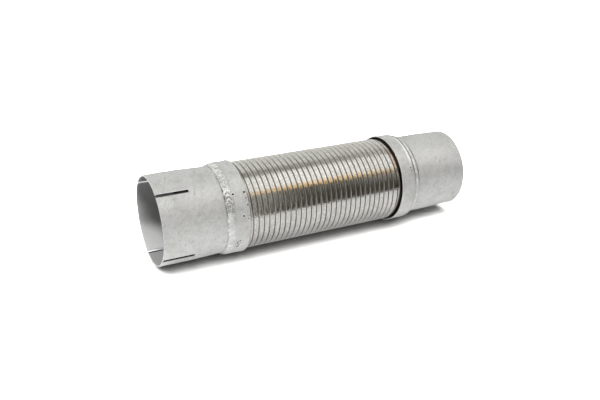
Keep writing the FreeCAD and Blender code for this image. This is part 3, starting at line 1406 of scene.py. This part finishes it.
def shown_white(name: str, share: float, contact: float, near: float, far: float) -> Material:
    """The white of the table that the camera sees, as a material.

    Args:
        name: The material's name.
        share: How much of the light is sent back.
        contact: How far from a body the white is darkened by it as a painted shadow, in metres.
        near: How far from the pipe's middle the table begins to glow by itself, in metres.
        far: How strongly it glows twice as far away.

    Returns:
        The material.
    """
    bench = MaterialBench(name)
    # Painted contact shadow: the white darkens where a body is near
    sky = bench.add("ShaderNodeAmbientOcclusion", {"samples": 6}, {"Distance": contact}, "AO")
    level = sky * share
    white = bench.add("ShaderNodeBsdfDiffuse", {}, {"Color": bench.vector(level, level, level)})
    place = bench.add("ShaderNodeTexCoord", output="Object")
    away = bench.add("ShaderNodeVectorMath", {"operation": "LENGTH"}, {0: place}, "Value")
    strength = away.ramp(near, near * 2.0) * far
    return bench.closed(white, bench.add("ShaderNodeEmission", {}, {"Strength": strength}))


@dataclass(frozen=True)
class Card:
    """A long card beside the pipe that only reflections see, as studio flats do."""

    name: str
    low: float
    high: float
    colour: Colour
    strength: float = 1.0
    left: float = -16.0
    right: float = 16.0
    distance: float = 2.4

    def place(self) -> None:
        """Puts the card between two angles seen from the pipe, in degrees."""
        (y1, z1), (y2, z2) = (
            (-self.distance * math.cos(angle), AXIS_Z + self.distance * math.sin(angle))
            for angle in (math.radians(self.low), math.radians(self.high))
        )
        left, right = self.left, self.right
        places = [(left, y1, z1), (right, y1, z1), (right, y2, z2), (left, y2, z2)]
        name = f"card_{self.name}"
        stage_sheet(name, places, glow(name, self.colour, self.strength), "glossy")


@dataclass(frozen=True)
class Lamp:
    """A soft rectangular lamp that reflections don't see."""

    name: str
    at: Point
    aim: Point
    width: float
    height: float
    power: float

    def place(self) -> None:
        """Hangs the lamp and turns it to its aim."""
        data = bpy.data.lights.new(self.name, "AREA")
        data.shape = "RECTANGLE"
        data.size = self.width
        data.size_y = self.height
        data.energy = self.power
        lamp = bpy.data.objects.new(self.name, data)
        lamp.location = self.at
        heading = Vector(self.aim) - Vector(self.at)
        lamp.rotation_euler = heading.to_track_quat("-Z", "Y").to_euler()
        lamp.visible_glossy = False
        bpy.context.scene.collection.objects.link(lamp)


SOFT_WHITE = (1.0, 0.99, 0.97)
WHITE = (1.0, 1.0, 1.0)


@dataclass
class Studio:
    """A white table, soft light and the camera at the photograph's angle."""

    floor_reach: float = 14.0
    dome_radius: float = 12.0
    backdrop_glow: float = 1.2
    room_light: float = 0.10
    lamps: list[Lamp] = field(
        default_factory=lambda: [
            Lamp("left_softbox", (-1.2, 0.05, 1.5), (-0.26, 0.0, 0.05), 0.9, 0.7, 19.5),
            Lamp("right_softbox", (0.95, -0.62, 1.6), (0.0, 0.0, 0.07), 1.6, 1.1, 19.0),
            Lamp("low_fill", (-1.5, -1.1, 0.8), (-0.26, 0.0, 0.05), 0.5, 0.5, 3.6),
        ]
    )
    shown_table: float = 2.8
    contact_shadow: float = 0.022
    table_glow_from: float = 0.5
    lighting_table: float = 1.7
    mirrored_table: float = 0.72
    mirrored_glow: float = 0.26
    camera_place: Point = (-0.5107, -0.9676, 0.4981)
    camera_right: Point = (0.89022, -0.45551, 0.0)
    camera_up: Point = (0.17078, 0.33377, 0.92705)
    camera_ahead: Point = (0.42228, 0.82528, -0.37493)
    lens: float = 44.15
    sensor_width: float = 36.0
    clip: Pair = (0.01, 100.0)
    table_edge: float = -0.30
    near_side: float = -0.065
    sheet_gap: float = 0.5 * MM
    cards: list[Card] = field(
        default_factory=lambda: [
            Card("left_room", -2.0, 49.0, (0.27, 0.265, 0.25), right=0.12),
            Card("dim_room", -2.0, 49.0, (0.60, 0.59, 0.56), left=0.12, right=0.77),
            Card("mid_room", -2.0, 44.0, (0.30, 0.28, 0.25), left=0.77, right=0.80),
            Card("low_room", -2.0, 42.0, (0.135, 0.12, 0.10), left=0.80, right=0.84),
            Card("dark_room", -2.0, 40.0, (0.036, 0.030, 0.022), left=0.84, right=1.42),
            Card("room_end_low", -2.0, 14.0, (0.118, 0.106, 0.088), left=1.42),
            Card("room_end_mid", 14.0, 24.0, (0.33, 0.32, 0.30), left=1.42),
            Card("room_end_high", 24.0, 34.0, (0.52, 0.50, 0.46), left=1.42),
            Card("warm_edge", 40.5, 49.0, (1.0, 0.62, 0.22), 1.5, 0.82, 1.40),
            Card("warm_end", 34.0, 43.0, (1.0, 0.70, 0.36), 1.8, 1.40, 1.62),
            Card("low_softbox", 43.0, 49.0, SOFT_WHITE, 1.1, 1.40),
            Card("softbox", 49.0, 90.0, SOFT_WHITE, 1.5, 0.95, 1.15),
            Card("softbox_mid", 49.0, 90.0, SOFT_WHITE, 1.3, 1.15, 1.25),
            Card("softbox_far", 49.0, 90.0, SOFT_WHITE, 1.05, 1.25),
            Card("softbox_end", 49.0, 90.0, (1.0, 1.0, 0.98), 1.1, right=0.95),
            Card("ceiling", 90.0, 109.0, (0.38, 0.37, 0.33), right=1.43),
            Card("ceiling_end", 90.0, 109.0, (0.66, 0.65, 0.61), left=1.43),
            Card("back_wall", 109.0, 180.0, (0.84, 0.84, 0.81)),
        ]
    )

    def build(self) -> None:
        """Sets up the whole studio."""
        self.lay_table()
        self.light_room()
        for card in self.cards:
            card.place()
        self.set_camera()

    def table(self, name: str, height: float, finish: Material, *rays: str) -> None:
        """The whole table's top at a height, for some kinds of ray."""
        far = self.floor_reach
        places = [(x, y, height) for x, y in ((-far, -far), (far, -far), (far, far), (-far, far))]
        stage_sheet(name, places, finish, *rays)

    def lay_table(self) -> None:
        """The table and backdrop that the camera sees, and the table that lights the pipe."""
        lighting = matt("table_white", self.lighting_table)
        others = ("diffuse", "shadow", "transmission", "volume_scatter")
        self.table("table", -self.sheet_gap, lighting, *others)
        mirrored = matt("table_mirrored", self.mirrored_table, self.mirrored_glow)
        self.table("table_mirrored", 0.0, mirrored, "glossy")
        # The camera's own table is over-bright, as the photograph's is, so that only the
        # deep part of the shadow shows
        lights = (self.contact_shadow, self.table_glow_from, self.backdrop_glow)
        shown = shown_white("table_shown", self.shown_table, *lights)
        self.table("table_shown", 0.0, shown, "camera")
        dome = bmesh.new()
        bmesh.ops.create_uvsphere(dome, u_segments=32, v_segments=16, radius=self.dome_radius)
        backdrop = new_piece("backdrop")
        dome.to_mesh(backdrop.data)
        dome.free()
        stage(backdrop, glow("backdrop", WHITE, self.backdrop_glow), "camera")
        self.end_table()

    def end_table(self) -> None:
        """The room beyond the table's near edge, which darkens from the mouth's side onwards."""
        # Each sheet's right edge, as its station at the pipe's near side and its slope
        tones = [
            ("table_end", None, (0.055, 0.047, 0.037)),
            ("table_end_low", (-0.112, 0.403), (0.135, 0.12, 0.10)),
            ("table_end_mid", (-0.120, 0.395), (0.30, 0.28, 0.25)),
            ("table_end_dim", (-0.128, 0.387), (0.60, 0.59, 0.56)),
        ]
        reach, edge = self.floor_reach, self.table_edge
        for number, (name, line, colour) in enumerate(tones, start=1):
            # Each paler sheet ends on the line that one column of the picture mirrors
            far, near = reach, reach
            if line is not None:
                station, slope = line
                far, near = (station - slope * (y - self.near_side) for y in (-reach, edge))
            rim = [(-reach, -reach), (far, -reach), (near, edge), (-reach, edge)]
            places = [(x, y, number * self.sheet_gap) for x, y in rim]
            stage_sheet(name, places, glow(name, colour), "glossy")

    def light_room(self) -> None:
        """Dim surroundings and the lamps."""
        world = bpy.data.worlds.new("grey_room")
        world.use_nodes = True
        bench = Bench(world.node_tree)
        values = {"Color": WHITE, "Strength": self.room_light}
        light = bench.add("ShaderNodeBackground", {}, values)
        bench.add("ShaderNodeOutputWorld", {}, {"Surface": light})
        bpy.context.scene.world = world
        for lamp in self.lamps:
            lamp.place()

    def set_camera(self) -> None:
        """The camera, where the photograph's was."""
        data = bpy.data.cameras.new("camera")
        data.lens = self.lens
        data.sensor_width = self.sensor_width
        data.clip_start, data.clip_end = self.clip
        camera = bpy.data.objects.new("camera", data)
        back = [-value for value in self.camera_ahead]
        turn = Matrix((self.camera_right, self.camera_up, back)).transposed()
        place = Vector(self.camera_place)
        camera.matrix_world = Matrix.LocRotScale(place, turn.to_quaternion(), None)
        bpy.context.scene.collection.objects.link(camera)
        bpy.context.scene.camera = camera
        bpy.context.scene.view_settings.view_transform = "Standard"


# Station in millimetres, angle in degrees, radius in millimetres and stretch of each spot, as
# the photograph shows them
INLET_SPOTS = (
    (108.1, 36.9, 1.05),
    (105.2, 39.9, 0.6),
    (125.6, 37.3, 0.85, 1.6),
    (124.4, 35.2, 0.5),
    (126.2, 30.0, 0.7),
    (127.3, 22.0, 0.75, 1.4),
    (118.8, 9.3, 0.95),
    (125.7, 5.6, 0.85, 0.8),
    (126.9, 8.6, 0.5),
    (114.1, -23.7, 0.95),
    (110.3, -28.3, 0.8),
    (111.8, -35.1, 0.95, 1.5),
    (109.0, -25.2, 0.65),
    (108.6, -31.0, 0.7),
    (113.2, -31.5, 0.7, 1.7),
    (115.6, -28.0, 0.6),
    (112.0, -26.2, 0.55, 2.0),
    (124.8, 33.0, 0.35),
    (119.9, 7.2, 0.35),
)
OUTLET_SPOTS = (
    (411.7, 29.9, 0.75),
    (412.9, 25.6, 0.7),
    (419.0, 16.5, 0.9),
    (413.8, 21.4, 0.45),
)
TUBE_SPOTS = (
    (496.9, 73.8, 0.3),
    (490.8, 10.8, 0.3),
    (490.6, -13.7, 0.25),
    (482.1, 33.3, 0.22, 5.0),
    (497.0, -2.5, 0.2),
)


def corners(box: tuple[Vector, Vector]) -> list[list[float]]:
    """A box as plain lists."""
    return [list(corner) for corner in box]


def main() -> None:
    """Builds every piece in order and works out both boxes."""
    logging.basicConfig(level=logging.INFO, format="%(message)s")
    Studio().build()

    tube = SheetFinish("aluminised_sheet").material()
    pressing = SheetFinish("aluminised_pressing").material()
    # The collars' undersides are painted dark almost all over, as shade in the gap round the hose
    under = {"lit_depth": -20.0, "shade_depth": 2.0}
    inlet_bore = BoreFinish("inlet_bore", 0.0, 1.0, deep_shade=0.92)
    outlet_bore = BoreFinish("outlet_bore", FREE_END, -1.0)
    inlet_under = BoreFinish("inlet_underside", INLET_MOUTH, -1.0, **under)
    outlet_under = BoreFinish("outlet_underside", OUTLET_MOUTH, 1.0, **under)
    edge = CutEdgeFinish("sheared_edge").material()
    strip = StripFinish("rolled_strip").material()
    weld = WeldFinish("weld_metal").material()
    smooth_weld = WeldFinish(
        "smooth_weld_metal",
        light=(0.99, 0.99, 0.98),
        metallic=0.7,
        lumps=0.15,
        toe_width=0.85,
        brokenness=0.1,
    ).material()
    burnt = SpotFinish("burnt_spatter").material()

    inlet = InletTube(Dress(tube, inlet_bore.material(), edge)).build()
    outlet = OutletTube(Dress(tube, outlet_bore.material(), edge)).build()
    dress = Dress(pressing, inlet_under.material(), edge)
    first = Collar(Flow.TO_INLET, INLET_MOUTH * MM, "inlet_collar", dress).build()
    dress = Dress(pressing, outlet_under.material(), edge)
    second = Collar(Flow.TO_OUTLET, OUTLET_MOUTH * MM, "outlet_collar", dress).build()
    WoundHose(strip).build()
    WeldRun(
        "inlet_weld_run",
        "inlet_weld_bead",
        Slot.INLET_WELD,
        weld,
        seat_station=106.6 * MM,
        toe_station=95.0 * MM,
        seat_radius=69.1 * MM,
        toe_radius=65.8 * MM,
        crown=1.1 * MM,
        ripples=54,
        ripple_height=0.62 * MM,
        wander=2.2 * MM,
        seed=3,
    ).build()
    WeldRun(
        "outlet_weld_run",
        "outlet_weld_bead",
        Slot.OUTLET_WELD,
        smooth_weld,
        seat_station=417.4 * MM,
        toe_station=427.8 * MM,
        seat_radius=69.0 * MM,
        toe_radius=63.6 * MM,
        crown=1.7 * MM,
        ripples=150,
        ripple_height=0.16 * MM,
        wander=0.8 * MM,
        seed=11,
    ).build()
    for name, carrier, start, end, density, seed in (
        ("inlet_spatter", first, 100.0, 129.0, 2200.0, 5),
        ("taper_spatter", inlet, 78.0, 94.0, 900.0, 9),
    ):
        sizes = (start * MM, end * MM, density, seed)
        Spatter(name, Slot.INLET_WELD, weld, carrier, *sizes).build()
    for name, slot, carrier, spots in (
        ("inlet_burnt_spots", Slot.INLET_WELD, first, INLET_SPOTS),
        ("outlet_burnt_spots", Slot.OUTLET_WELD, second, OUTLET_SPOTS),
        ("stray_burnt_spots", Slot.OUTLET_WELD, outlet, TUBE_SPOTS),
    ):
        BurntSpots(name, slot, burnt, edge, carrier, spots).build()

    {"cad": corners(CAD_BOUNDS), "visual": corners(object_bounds())}


if __name__ == "__main__":
    main()
